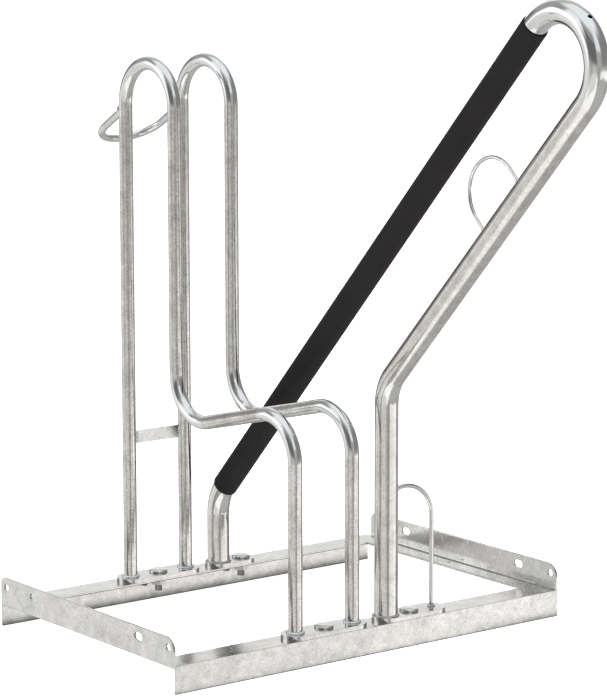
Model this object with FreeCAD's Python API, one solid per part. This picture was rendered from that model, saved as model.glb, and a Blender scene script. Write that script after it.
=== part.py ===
import FreeCAD, Part
import math
import os

os.makedirs("parts", exist_ok=True)

V = FreeCAD.Vector

# ---------------------------------------------------------------- dimensions
# frame: origin on the ground in the middle of the base frame, +X along the
# two long rails, -Y the side the lean bar reaches out over, +Z up, mm
rail_left_x = -300.5       # long rails: the left ends stop against the cross rail,
rail_right_x = 303.5       # the right ends are flush with the cross rail's outside
back_rail_left_x = -295.0  # the back rail stops a little short, its weld fills the gap
rail_outer_half_y = 200.0  # outer faces of the long rails at y = +/- this
rail_height = 35.0         # upright leg of the angle
rail_width = 39.0          # flat leg of the angle
sheet_t = 3.0              # angle wall thickness
heel_r = 0.5               # outside corner of the rolled angle
root_r = 4.0               # inside fillet of the rolled angle
toe_r = 1.0                # inside rounding of the legs' free edges

cross_outer_x = 303.5      # outer faces of the cross rails at x = +/- this
cross_height = 37.0        # upright leg, from the underside of the flat leg
cross_width = 30.0         # flat leg, level with the long rails' flat legs
cross_root_r = 2.2
cross_y_front = -200.0
cross_y_back = 187.0
cross_corner_front_r = 18.0
cross_corner_back_r = 10.0
link_hole_d = 10.0
link_hole_z = 56.0
link_round_y = (-188.0, 174.0)
link_slot_y = (-125.0, 110.0)
link_slot_length = 17.0
middle_hole_d = 5.0
middle_hole_x = 289.0
middle_hole_y = 2.0

leg_y = 180.0              # tube feet stand at y = +/- this
hoop_x = (-108.0, -20.0)   # two wheel hoops, left and right of the wheel
hoop_tube_d = 18.0
hoop_tube_wall = 2.0
hoop_bend_r = 54.5
hoop_top_centre_z = 664.5
hoop_mid_angle = 13.71     # rise of the middle run towards the front leg
hoop_mid_z_at_short_leg = 258.1

lean_x = 34.0
lean_tube_d = 30.0
lean_tube_wall = 2.5
lean_angle = 46.38         # lean of the two long diagonals from the ground
lean_corner_z = 129.8      # where back leg and upper diagonal would meet
lean_small_bend_r = 60.0
lean_top_bend_r = 60.6
lean_diagonal_length = 889.0
sleeve_d = 33.5
sleeve_bore_d = 30.2
vent_hole_d = 6.0

plate_t = 5.5
plate_r = 19.6             # half width and end radius of the foot plates
plate_reach = 18.0         # how far they reach past the outermost piece's axis
plate_edge_r = 0.25
bolt_x = (-64.0, 71.0)
bolt_d = 10.0
bolt_head_d = 24.5
bolt_head_h = 5.0
bolt_end_z = 15.0
square_neck = 10.0
nut_flats = 17.0
nut_h = 8.4

bow_rod_d = 10.0
bow_leg = 53.5
bow_tilt = 30.6
bow_start_z = 659.0
loop_r = 44.0
lean_loop_wire_d = 5.0
base_loop_wire_d = 6.0

strip_h = 16.5
strip_t = 4.0
strip_z = 226.4

weld = 2.8

deck_z = rail_height + plate_t     # top of the foot plates


# ------------------------------------------------------------------ helpers
def box(x0, x1, y0, y1, z0, z1):
    return Part.makeBox(x1 - x0, y1 - y0, z1 - z0, V(x0, y0, z0))


def cyl(r, p0, p1):
    a, b = V(*p0), V(*p1)
    return Part.makeCylinder(r, a.distanceToPoint(b), a, b - a)


def prism(points, vec):
    pts = [V(*p) for p in points]
    face = Part.Face(Part.makePolygon(pts + [pts[0]]))
    return face.extrude(V(*vec))


def check_solid(shape, name):
    if len(shape.Solids) < 1 or not shape.isValid():
        raise RuntimeError("bad shape: " + name)
    return shape


def angle_profile(width, height, t, ri, upright_toe):
    """Rolled angle cross-section in a local (a, b) plane.

    The heel is at the origin, the flat leg runs along +a at the top
    (b = 0 down to -t), the upright leg runs down along -b (a = 0 to t)."""
    c45 = math.sqrt(0.5)
    k = 1.0 - c45
    tip = 0.4
    ro, rt = heel_r, toe_r
    ru = rt if upright_toe else tip
    segs = [
        ("L", (ro, 0.0), (width - tip, 0.0)),
        ("L", (width - tip, 0.0), (width, -tip)),
        ("L", (width, -tip), (width, -t + rt)),
        ("A", (width, -t + rt), (width - rt * k, -t + rt * k), (width - rt, -t)),
        ("L", (width - rt, -t), (t + ri, -t)),
        ("A", (t + ri, -t),
              (t + ri * k, -t - ri * k),
              (t, -t - ri)),
        ("L", (t, -t - ri), (t, -height + ru)),
    ]
    if upright_toe:
        segs.append(("A", (t, -height + ru), (t - ru * k, -height + ru * k), (t - ru, -height)))
    else:
        segs.append(("L", (t, -height + ru), (t - ru, -height)))
    segs += [
        ("L", (t - ru, -height), (tip, -height)),
        ("L", (tip, -height), (0.0, -height + tip)),
        ("L", (0.0, -height + tip), (0.0, -ro)),
        ("A", (0.0, -ro), (ro * k, -ro * k), (ro, 0.0)),
    ]
    return segs


def profile_solid(segs, to3d, vec):
    edges = []
    for s in segs:
        if s[0] == "L":
            edges.append(Part.LineSegment(V(*to3d(*s[1])), V(*to3d(*s[2]))).toShape())
        else:
            edges.append(Part.Arc(V(*to3d(*s[1])), V(*to3d(*s[2])), V(*to3d(*s[3]))).toShape())
    face = Part.Face(Part.Wire(edges))
    return face.extrude(V(*vec))


class Path:
    """Planar centre line made of straight runs and tangent arcs."""

    def __init__(self, to3d, start, heading_deg):
        self.to3d = to3d
        self.p = start
        self.h = math.radians(heading_deg)
        self.start = start
        self.h0 = self.h
        self.edges = []

    def line(self, length):
        q = (self.p[0] + length * math.cos(self.h), self.p[1] + length * math.sin(self.h))
        self.edges.append(Part.LineSegment(V(*self.to3d(*self.p)), V(*self.to3d(*q))).toShape())
        self.p = q
        return self

    def arc(self, r, deg):
        # positive turns left (counter-clockwise in the plane)
        s = 1.0 if deg > 0 else -1.0
        cx = self.p[0] - s * r * math.sin(self.h)
        cy = self.p[1] + s * r * math.cos(self.h)
        a0 = math.atan2(self.p[1] - cy, self.p[0] - cx)
        a1 = a0 + math.radians(deg)
        am = 0.5 * (a0 + a1)
        mid = (cx + r * math.cos(am), cy + r * math.sin(am))
        end = (cx + r * math.cos(a1), cy + r * math.sin(a1))
        self.edges.append(Part.Arc(V(*self.to3d(*self.p)), V(*self.to3d(*mid)),
                                   V(*self.to3d(*end))).toShape())
        self.p = end
        self.h += math.radians(deg)
        return self

    def wire(self):
        return Part.Wire(self.edges)

    def sweep(self, r):
        o = V(*self.to3d(*self.start))
        d = (self.start[0] + math.cos(self.h0), self.start[1] + math.sin(self.h0))
        n = V(*self.to3d(*d)) - o
        prof = Part.Wire([Part.makeCircle(r, o, n)])
        return self.wire().makePipeShell([prof], True, False)


def bent_tube(path, d, wall):
    outer = path.sweep(d / 2.0)
    inner = path.sweep(d / 2.0 - wall)
    return outer.cut(inner)


def fillet_ring(x, y, z, r, s):
    """Weld bead round a tube foot: slightly convex, standing on z."""
    pts = [V(r, 0, 0), V(r + s, 0, 0)]
    e1 = Part.LineSegment(pts[0], pts[1]).toShape()
    e2 = Part.Arc(pts[1], V(r + s * 0.62, 0, s * 0.62), V(r, 0, s)).toShape()
    e3 = Part.LineSegment(V(r, 0, s), pts[0]).toShape()
    face = Part.Face(Part.Wire([e1, e2, e3]))
    ring = face.revolve(V(0, 0, 0), V(0, 0, 1), 360)
    ring.translate(V(x, y, z))
    return ring


nodes = {}

# ------------------------------------------------------------- long rails
front = profile_solid(
    angle_profile(rail_width, rail_height, sheet_t, root_r, False),
    lambda a, b: (rail_left_x, -rail_outer_half_y + a, rail_height + b),
    (rail_right_x - rail_left_x, 0, 0))
back = profile_solid(
    angle_profile(rail_width, rail_height, sheet_t, root_r, False),
    lambda a, b: (back_rail_left_x, rail_outer_half_y - a, rail_height + b),
    (rail_right_x - back_rail_left_x, 0, 0))


def rail_bolt_cut(x, y):
    return cyl(bolt_d / 2.0 + 0.5, (x, y, rail_height - 10), (x, y, rail_height + 1))


for bx in bolt_x:
    front = front.cut(rail_bolt_cut(bx, -leg_y))
    back = back.cut(rail_bolt_cut(bx, leg_y))
nodes["front_rail"] = front
nodes["back_rail"] = back


# ------------------------------------------------------------ cross rails
cross_z0 = rail_height - sheet_t
cross_top = cross_z0 + cross_height
joint_y = rail_outer_half_y - rail_width     # inner edges of the long rails


def cross_rail(side):
    """side -1 = left, +1 = right.

    The flat leg lies level with those of the long rails and is cut to fit
    between them. The left upright leg stands outside the ends of the long
    rails; the right one stands on top of them, flush with their ends."""
    t = sheet_t
    segs = angle_profile(cross_width, cross_height, t, cross_root_r, True)
    # heel at the bottom outside corner, upright leg going up
    solid = profile_solid(
        segs,
        lambda a, b: (side * (cross_outer_x - a), cross_y_front, cross_z0 - b),
        (0, cross_y_back - cross_y_front, 0))
    xo, xi = side * (cross_outer_x + 1), side * (cross_outer_x - t - 1)
    x0, x1 = min(xo, xi), max(xo, xi)
    # flat leg coped at both ends
    c0, c1 = sorted((side * (cross_outer_x - t), side * (cross_outer_x - cross_width - 1)))
    solid = solid.cut(box(c0, c1, cross_y_front - 1, -joint_y, cross_z0 - 1, cross_z0 + 12))
    solid = solid.cut(box(c0, c1, joint_y, cross_y_back + 1, cross_z0 - 1, cross_z0 + 12))
    if side > 0:
        o0, o1 = cross_outer_x - t - 0.5, cross_outer_x + 1
        solid = solid.cut(box(o0, o1, cross_y_front - 1, -joint_y, cross_z0 - 1, rail_height))
        solid = solid.cut(box(o0, o1, joint_y, cross_y_back + 1, cross_z0 - 1, rail_height))
    # rounded upper corners
    for y, r, s in ((cross_y_front, cross_corner_front_r, 1.0),
                    (cross_y_back, cross_corner_back_r, -1.0)):
        blank = box(x0, x1, min(y - s * 1.0, y + s * r), max(y - s * 1.0, y + s * r),
                    cross_top - r, cross_top + 1)
        disc = cyl(r, (x0 - 1, y + s * r, cross_top - r), (x1 + 1, y + s * r, cross_top - r))
        solid = solid.cut(blank.cut(disc))
    for y in link_round_y:
        solid = solid.cut(cyl(link_hole_d / 2.0, (x0, y, link_hole_z), (x1, y, link_hole_z)))
    e = (link_slot_length - link_hole_d) / 2.0
    for y in link_slot_y:
        slot = cyl(link_hole_d / 2.0, (x0, y - e, link_hole_z), (x1, y - e, link_hole_z))
        slot = slot.fuse(cyl(link_hole_d / 2.0, (x0, y + e, link_hole_z), (x1, y + e, link_hole_z)))
        slot = slot.fuse(box(x0, x1, y - e, y + e, link_hole_z - link_hole_d / 2.0,
                             link_hole_z + link_hole_d / 2.0))
        solid = solid.cut(slot)
    solid = solid.cut(cyl(middle_hole_d / 2.0,
                          (side * middle_hole_x, middle_hole_y, cross_z0 - 1),
                          (side * middle_hole_x, middle_hole_y, rail_height + 1)))
    return max(solid.Solids, key=lambda q: q.Volume)


nodes["left_cross_rail"] = cross_rail(-1)
nodes["right_cross_rail"] = cross_rail(1)

# ------------------------------------------------------------ wheel hoops
mid = math.radians(hoop_mid_angle)
turn = 90.0 + hoop_mid_angle
tan_len = hoop_bend_r * math.tan(math.radians(turn) / 2.0)
short_leg_y = leg_y - 2 * hoop_bend_r
span = short_leg_y + leg_y
front_corner_z = hoop_mid_z_at_short_leg + span * math.tan(mid)


def hoop_path(x):
    pth = Path(lambda y, z: (x, y, z), (leg_y, deck_z), 90.0)
    pth.line(hoop_top_centre_z - deck_z)
    pth.arc(hoop_bend_r, 180.0)
    pth.line(hoop_top_centre_z - (hoop_mid_z_at_short_leg + tan_len))
    pth.arc(hoop_bend_r, -turn)
    pth.line(span / math.cos(mid) - 2 * tan_len)
    pth.arc(hoop_bend_r, turn)
    pth.line(front_corner_z - tan_len - deck_z)
    return pth


hoop_outer = []
for name, x in zip(("wheel_hoop_left", "wheel_hoop_right"), hoop_x):
    pth = hoop_path(x)
    hoop_outer.append(pth.sweep(hoop_tube_d / 2.0))
    nodes[name] = bent_tube(pth, hoop_tube_d, hoop_tube_wall)

# --------------------------------------------------------------- lean bar
la = math.radians(lean_angle)
small_turn = 90.0 - lean_angle
small_tan = lean_small_bend_r * math.tan(math.radians(small_turn) / 2.0)
lp = Path(lambda y, z: (lean_x, y, z), (leg_y, deck_z), 90.0)
lp.line(lean_corner_z - small_tan - deck_z)
lp.arc(lean_small_bend_r, small_turn)
diag_start = lp.p
lp.line(lean_diagonal_length)
diag_end = lp.p
lp.arc(lean_top_bend_r, 180.0)
low_start = lp.p
low_len = (-leg_y - low_start[0]) / math.cos(la)
low_corner_z = low_start[1] - low_len * math.sin(la)
lp.line(low_len - small_tan)
lp.arc(lean_small_bend_r, -small_turn)
lp.line(low_corner_z - small_tan - deck_z)
lean_outer = lp.sweep(lean_tube_d / 2.0)
lean = bent_tube(lp, lean_tube_d, lean_tube_wall)

# small drain and vent hole on the outside of the top bend
top_c = (0.5 * (diag_end[0] + low_start[0]), 0.5 * (diag_end[1] + low_start[1]))
ha, hs = math.radians(130.7), math.radians(3.3)
hd = V(-math.sin(hs), math.cos(ha) * math.cos(hs), math.sin(ha) * math.cos(hs))
hc = V(lean_x, top_c[0] + lean_top_bend_r * math.cos(ha), top_c[1] + lean_top_bend_r * math.sin(ha))
hp = hc + hd * (lean_tube_d / 2.0 - lean_tube_wall - 1.5)
lean = lean.cut(Part.makeCylinder(vent_hole_d / 2.0, 8.0, hp, hd))
nodes["lean_bar"] = lean

# black protective sleeve over the straight upper diagonal
d0 = V(lean_x, *diag_start)
d1 = V(lean_x, *diag_end)
dd = (d1 - d0).normalize()
s_out = Part.makeCylinder(sleeve_d / 2.0, (d1 - d0).Length, d0, dd)
s_in = Part.makeCylinder(sleeve_bore_d / 2.0, (d1 - d0).Length + 2, d0 - dd, dd)
sleeve = s_out.cut(s_in)
outer_edges = [e for e in sleeve.Edges
               if isinstance(e.Curve, Part.Circle) and abs(e.Curve.Radius - sleeve_d / 2.0) < 1e-6]
sleeve = sleeve.makeFillet(0.6, outer_edges)
nodes["lean_bar_sleeve"] = sleeve

# ------------------------------------------------------------ foot plates


def foot_plate(x_left, x_right, y, bolt_at):
    """Flat bar with half-round ends, as wide as the rail's flat leg."""
    r, z = plate_r, rail_height
    x_left += r - plate_reach
    x_right -= r - plate_reach
    wire = Part.Wire([
        Part.LineSegment(V(x_left, y - r, z), V(x_right, y - r, z)).toShape(),
        Part.Arc(V(x_right, y - r, z), V(x_right + r, y, z), V(x_right, y + r, z)).toShape(),
        Part.LineSegment(V(x_right, y + r, z), V(x_left, y + r, z)).toShape(),
        Part.Arc(V(x_left, y + r, z), V(x_left - r, y, z), V(x_left, y - r, z)).toShape(),
    ])
    p = Part.Face(wire).extrude(V(0, 0, plate_t))
    top = [e for e in p.Edges if min(v.Z for v in e.Vertexes) > z + plate_t - 0.01]
    p = p.makeFillet(plate_edge_r, top)
    s = square_neck / 2.0 + 0.4
    bx, by = bolt_at
    return p.cut(box(bx - s, bx + s, by - s, by + s, rail_height - 1, rail_height + plate_t + 1))


base_loop_foot_x = lean_x + 29.0 + loop_r
nodes["front_hoop_foot_plate"] = foot_plate(hoop_x[0], hoop_x[1], -leg_y, (bolt_x[0], -leg_y))
nodes["back_hoop_foot_plate"] = foot_plate(hoop_x[0], hoop_x[1], leg_y, (bolt_x[0], leg_y))
nodes["front_lean_bar_foot_plate"] = foot_plate(lean_x, base_loop_foot_x, -leg_y, (bolt_x[1], -leg_y))
nodes["back_lean_bar_foot_plate"] = foot_plate(lean_x, bolt_x[1], leg_y, (bolt_x[1], leg_y))

# ------------------------------------------------------- bolts and nuts


def carriage_bolt(x, y):
    r, h = bolt_head_d / 2.0, bolt_head_h
    rim = 1.4
    cap = h - rim
    ball_r = (r * r + cap * cap) / (2.0 * cap)
    ball = Part.makeSphere(ball_r, V(x, y, deck_z + h - ball_r))
    head = cyl(r, (x, y, deck_z), (x, y, deck_z + h + 1)).common(ball)
    s = square_neck / 2.0
    neck = box(x - s, x + s, y - s, y + s, deck_z - 4.8, deck_z)
    shank = cyl(bolt_d / 2.0, (x, y, bolt_end_z + 1.0), (x, y, deck_z - 4.8))
    tip = Part.makeCone(bolt_d / 2.0 - 1.0, bolt_d / 2.0, 1.0, V(x, y, bolt_end_z), V(0, 0, 1))
    return head.fuse([neck, shank, tip]).removeSplitter()


def hex_nut(x, y):
    r = nut_flats / 2.0 / math.cos(math.radians(30))
    z1 = rail_height - sheet_t
    z0 = z1 - nut_h
    pts = [(x + r * math.cos(math.radians(60 * i + 10)), y + r * math.sin(math.radians(60 * i + 10)), z0)
           for i in range(6)]
    n = prism(pts, (0, 0, nut_h))
    # chamfered corners
    c0 = Part.makeCone(nut_flats / 2.0 * 0.97, nut_flats / 2.0 * 0.97 + 16.0, 9.24, V(x, y, z0), V(0, 0, 1))
    n = n.common(c0)
    bore = cyl(bolt_d / 2.0, (x, y, z0 - 1), (x, y, z1 + 1))
    return n.cut(bore)


places = [(bx, s * leg_y) for bx in bolt_x for s in (-1, 1)]
nodes["carriage_bolts"] = Part.Compound([carriage_bolt(*p) for p in places])
nodes["hex_nuts"] = Part.Compound([hex_nut(*p) for p in places])

# ------------------------------------------------- tie strip between hoops
strip = box(hoop_x[0] + 4, hoop_x[1] - 4, leg_y - strip_t / 2.0, leg_y + strip_t / 2.0,
            strip_z - strip_h / 2.0, strip_z + strip_h / 2.0)
for x in hoop_x:
    strip = strip.cut(cyl(hoop_tube_d / 2.0, (x, leg_y, strip_z - 40), (x, leg_y, strip_z + 40)))
nodes["hoop_tie_strip"] = strip

# --------------------------------------------------------------- lock bow
bt = math.radians(bow_tilt)
bow_mid_x = 0.5 * (hoop_x[0] + hoop_x[1])


def bow3d(t, n):
    return (bow_mid_x + t, leg_y + n * math.cos(bt), bow_start_z - n * math.sin(bt))


bp = Path(bow3d, (-loop_r, 5.0), 90.0)
bp.line(bow_leg - 5.0).arc(loop_r, -180.0).line(bow_leg - 5.0)
bow = bp.sweep(bow_rod_d / 2.0)
for x in hoop_x:
    bow = bow.cut(cyl(hoop_tube_d / 2.0, (x, leg_y, bow_start_z - 60), (x, leg_y, hoop_top_centre_z)))
nodes["hoop_lock_bow"] = max(bow.Solids, key=lambda s: s.Volume)

# ----------------------------------------------- small loop on the lean bar
loop_mid = 194.2
tl = (math.cos(la), -math.sin(la))            # down the lower diagonal
nl = (math.sin(la), math.cos(la))             # towards the upper diagonal
lm = (low_start[0] + loop_mid * tl[0], low_start[1] + loop_mid * tl[1])


def lean_loop3d(t, n):
    return (lean_x, lm[0] - t * tl[0] + n * nl[0], lm[1] - t * tl[1] + n * nl[1])


ll = Path(lean_loop3d, (-loop_r, 8.0), 90.0)
ll.line(33.5 - 8.0).arc(loop_r, -180.0).line(33.5 - 8.0)
loop = ll.sweep(lean_loop_wire_d / 2.0)
a0 = V(lean_x, low_start[0], low_start[1])
loop = loop.cut(Part.makeCylinder(lean_tube_d / 2.0, 480.0, a0, V(0, tl[0], tl[1])))
nodes["lean_bar_lock_loop"] = max(loop.Solids, key=lambda s: s.Volume)

# ---------------------------------------------------- loop down at the base
bc = (lean_x + 29.0, 158.0)
th = math.acos((lean_x + 10.0 - bc[0]) / loop_r)
sp = (bc[0] + loop_r * math.cos(th), bc[1] + loop_r * math.sin(th))
base = Path(lambda x, z: (x, -leg_y, z), sp, math.degrees(th) - 90.0)
base.arc(loop_r, -math.degrees(th)).line(bc[1] - deck_z)
bl = base.sweep(base_loop_wire_d / 2.0)
bl = bl.cut(cyl(lean_tube_d / 2.0, (lean_x, -leg_y, 100), (lean_x, -leg_y, 260)))
nodes["base_lock_loop"] = max(bl.Solids, key=lambda s: s.Volume)

# ------------------------------------------------------------ weld beads
beads = []
for x in hoop_x:
    for s in (-1, 1):
        beads.append(fillet_ring(x, s * leg_y, deck_z, hoop_tube_d / 2.0, weld))
for s in (-1, 1):
    beads.append(fillet_ring(lean_x, s * leg_y, deck_z, lean_tube_d / 2.0, 2.4))
beads.append(fillet_ring(base_loop_foot_x, -leg_y, deck_z, base_loop_wire_d / 2.0, 2.2))
nodes["foot_weld_beads"] = Part.Compound(beads)


def blob(p, r, minus):
    """Small rounded weld lump, trimmed by the pieces it joins."""
    s = Part.makeSphere(r, V(*p))
    for m in minus:
        s = s.cut(m)
    if not s.Solids:
        raise RuntimeError("empty weld")
    return max(s.Solids, key=lambda q: q.Volume)


# upright beads where the tie strip meets the two back legs, front and rear side
strip_beads = []
for x, sx in ((hoop_x[0], 1.0), (hoop_x[1], -1.0)):
    # contact corner of tube and strip face
    yc = strip_t / 2.0
    xc = math.sqrt((hoop_tube_d / 2.0) ** 2 - yc ** 2)
    for sy in (-1.0, 1.0):
        tube = cyl(hoop_tube_d / 2.0, (x, leg_y, strip_z - 30), (x, leg_y, strip_z + 30))
        c = cyl(2.6, (x + sx * (xc + 0.6), leg_y + sy * (yc + 0.2), strip_z - strip_h / 2.0 + 0.6),
                (x + sx * (xc + 0.6), leg_y + sy * (yc + 0.2), strip_z + strip_h / 2.0 - 0.6))
        c = c.cut(tube).cut(strip)
        strip_beads.append(max(c.Solids, key=lambda q: q.Volume))
nodes["tie_strip_weld_beads"] = Part.Compound(strip_beads)

# collars of weld metal where rods and wires meet the tubes
lock_beads = []


def collar(center, axis, r_in, r_out, length, minus):
    a = V(*axis).normalize()
    c = V(*center)
    ring = Part.makeCone(r_out, r_in + 0.5, length, c, a)
    for m in minus:
        ring = ring.cut(m)
    return max(ring.Solids, key=lambda q: q.Volume)


for x in hoop_x:
    tube = cyl(hoop_tube_d / 2.0, (x, leg_y, bow_start_z - 60), (x, leg_y, hoop_top_centre_z))
    ax = (0, math.cos(bt), -math.sin(bt))
    start = (x, leg_y + 6.0 * ax[1], bow_start_z + 6.0 * ax[2])
    lock_beads.append(collar(start, ax, bow_rod_d / 2.0, bow_rod_d / 2.0 + 3.2, 7.5, [tube, bow]))
lean_low = Part.makeCylinder(lean_tube_d / 2.0, 480.0, a0, V(0, tl[0], tl[1]))
for t in (-loop_r, loop_r):
    s0 = lean_loop3d(t, 12.5)
    lock_beads.append(collar(s0, (0, nl[0], nl[1]), lean_loop_wire_d / 2.0,
                             lean_loop_wire_d / 2.0 + 2.0, 5.0, [lean_low, loop]))
lean_leg = cyl(lean_tube_d / 2.0, (lean_x, -leg_y, 100), (lean_x, -leg_y, 260))
tz = bc[1] + math.sqrt(loop_r ** 2 - (lean_x + lean_tube_d / 2.0 - bc[0]) ** 2)
lock_beads.append(collar((lean_x + 12.0, -leg_y, tz - 0.6), (1.0, 0, 0.12), base_loop_wire_d / 2.0,
                         base_loop_wire_d / 2.0 + 2.0, 5.5, [lean_leg, bl]))
nodes["lock_loop_weld_beads"] = Part.Compound(lock_beads)

# welds at the corners: flat runs on the underside along the seams between the
# flat legs and across the left ends of the long rails, and a bead in the
# corner where each end of the right upright leg stands on a long rail
corner = []
seam_r = 4.0
under = rail_height - sheet_t
rails = [nodes["front_rail"], nodes["back_rail"], nodes["left_cross_rail"], nodes["right_cross_rail"]]


def seam(p0, p1):
    run = cyl(seam_r, p0, p1)
    run = run.common(box(-400, 400, -400, 400, under - 10, under + 1.5))
    for r in rails:
        run = run.cut(r)
    return max(run.Solids, key=lambda q: q.Volume)


def corner_bead(y0, y1):
    xw = cross_outer_x - sheet_t
    run = cyl(1.6, (xw, y0, rail_height), (xw, y1, rail_height))
    run = run.common(box(xw - 5, xw, -400, 400, rail_height, rail_height + 5))
    return max(run.Solids, key=lambda q: q.Volume)


for sx in (-1, 1):
    xw = sx * (cross_outer_x - sheet_t) - sx * 0.6
    for sy, far in ((-1, 196.0), (1, cross_y_back - 1.5)):
        if sx < 0:
            xs = xw if sy < 0 else 0.5 * (back_rail_left_x - cross_outer_x + sheet_t)
            corner.append(seam((xs, sy * (joint_y + 3.5), under + 3.0), (xs, sy * far, under + 3.0)))
        else:
            corner.append(corner_bead(*sorted((sy * (joint_y + 1.0), sy * far))))
        corner.append(seam((sx * (cross_outer_x - cross_width + 1.5), sy * joint_y, under + 3.0),
                           (sx * (cross_outer_x - sheet_t - cross_root_r - 1.0), sy * joint_y, under + 3.0)))
nodes["frame_corner_weld_beads"] = Part.Compound(corner)

# ----------------------------------------------------------------- export
# the rack's own origin lies on the ground under the middle of its full
# length, from the top bend of the lean bar to the outermost point of the bow
y_low = top_c[0] - lean_top_bend_r - lean_tube_d / 2.0
y_high = leg_y + (bow_leg + loop_r) * math.cos(bt) + bow_rod_d / 2.0
shift_y = -0.5 * (y_low + y_high)
print("full length %.3f, shift %.3f" % (y_high - y_low, shift_y))

for name, shape in nodes.items():
    check_solid(shape, name)
    if len(shape.Solids) == 1:
        shape = shape.Solids[0]
    shape = shape.copy()
    shape.translate(V(0, shift_y, 0))
    shape.exportStep("parts/" + name + ".step")
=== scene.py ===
import bpy
import bmesh
import math
import random
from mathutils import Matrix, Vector


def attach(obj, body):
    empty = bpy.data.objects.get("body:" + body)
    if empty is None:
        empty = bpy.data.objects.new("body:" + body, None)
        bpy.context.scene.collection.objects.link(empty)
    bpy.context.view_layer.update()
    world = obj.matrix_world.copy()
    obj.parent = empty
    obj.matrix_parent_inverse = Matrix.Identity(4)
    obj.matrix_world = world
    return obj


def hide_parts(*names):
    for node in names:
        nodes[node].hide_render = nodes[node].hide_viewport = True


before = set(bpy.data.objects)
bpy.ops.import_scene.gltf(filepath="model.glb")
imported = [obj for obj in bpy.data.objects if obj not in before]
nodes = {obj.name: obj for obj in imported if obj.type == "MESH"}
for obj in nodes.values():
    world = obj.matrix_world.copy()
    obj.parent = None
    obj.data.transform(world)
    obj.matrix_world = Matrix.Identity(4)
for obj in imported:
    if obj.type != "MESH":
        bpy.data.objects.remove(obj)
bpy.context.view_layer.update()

# ---------------------------------------------------------------- measures
# millimetres, as in the CAD model; Y0 moves the base frame's centre to its
# place in the rack's own frame
MM = 0.001
Y0 = 150.204
RAIL_Z = 35.0
DECK = 40.5
LEG_Y = 180.0
HOOP_X = (-108.0, -20.0)
HOOP_R = 9.0
LEAN_X = 34.0
LEAN_R = 15.0
BOLT_X = (-64.0, 71.0)


def P(x, y, z):
    return Vector((x * MM, (y + Y0) * MM, z * MM))


# ------------------------------------------------------------ path helpers
class Path:
    """Planar line of straight runs and arcs, sampled with its tangent; notes
    where along its length the arcs lie."""

    def __init__(self, start, heading, arc_step=2.5, line_step=12.0):
        self.p = Vector(start)
        self.h = math.radians(heading)
        self.arc_step = arc_step
        self.line_step = line_step
        self.pts = [(self.p.x, self.p.y, self.h)]
        self.length = 0.0
        self.bends = []

    def line(self, length):
        n = max(1, int(math.ceil(length / self.line_step)))
        d = Vector((math.cos(self.h), math.sin(self.h)))
        for i in range(1, n + 1):
            q = self.p + d * (length * i / n)
            self.pts.append((q.x, q.y, self.h))
        self.p = self.p + d * length
        self.length += length
        return self

    def arc(self, r, deg):
        s = 1.0 if deg > 0 else -1.0
        c = Vector((self.p.x - s * r * math.sin(self.h), self.p.y + s * r * math.cos(self.h)))
        a0 = math.atan2(self.p.y - c.y, self.p.x - c.x)
        n = max(3, int(math.ceil(abs(deg) / self.arc_step)))
        for i in range(1, n + 1):
            a = a0 + math.radians(deg) * i / n
            self.pts.append((c.x + r * math.cos(a), c.y + r * math.sin(a), self.h + math.radians(deg) * i / n))
        self.p = Vector((self.pts[-1][0], self.pts[-1][1]))
        self.h += math.radians(deg)
        run = r * math.radians(abs(deg))
        self.bends.append((self.length, self.length + run))
        self.length += run
        return self


def hoop_path():
    mid = math.radians(13.71)
    turn = 90.0 + 13.71
    r = 54.5
    tan_len = r * math.tan(math.radians(turn) / 2)
    short_y = LEG_Y - 2 * r
    span = short_y + LEG_Y
    mid_z = 258.1
    corner = mid_z + span * math.tan(mid)
    p = Path((LEG_Y, DECK), 90.0)
    p.line(664.5 - DECK).arc(r, 180.0).line(664.5 - (mid_z + tan_len)).arc(r, -turn)
    p.line(span / math.cos(mid) - 2 * tan_len).arc(r, turn).line(corner - tan_len - DECK)
    return p


def lean_path():
    la = math.radians(46.38)
    st = 90.0 - 46.38
    r, rt = 60.0, 60.6
    tan_len = r * math.tan(math.radians(st) / 2)
    p = Path((LEG_Y, DECK), 90.0, 2.0)
    p.line(129.8 - tan_len - DECK).arc(r, st)
    a = Vector(p.p)
    p.line(889.0)
    b = Vector(p.p)
    p.arc(rt, 180.0)
    c = Vector(p.p)
    low = (-LEG_Y - c.x) / math.cos(la)
    zc = c.y - low * math.sin(la)
    p.line(low - tan_len).arc(r, -st).line(zc - tan_len - DECK)
    return p, a, b, c, la


# ------------------------------------------------------------ mesh helpers
def new_object(name, me):
    o = bpy.data.objects.new(name, me)
    bpy.context.scene.collection.objects.link(o)
    return o


def finish_mesh(me, sharp=35.0):
    bm = bmesh.new()
    bm.from_mesh(me)
    bmesh.ops.recalc_face_normals(bm, faces=bm.faces)
    bm.to_mesh(me)
    bm.free()
    for p in me.polygons:
        p.use_smooth = True
    me.set_sharp_from_angle(angle=math.radians(sharp))
    me.update()


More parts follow.
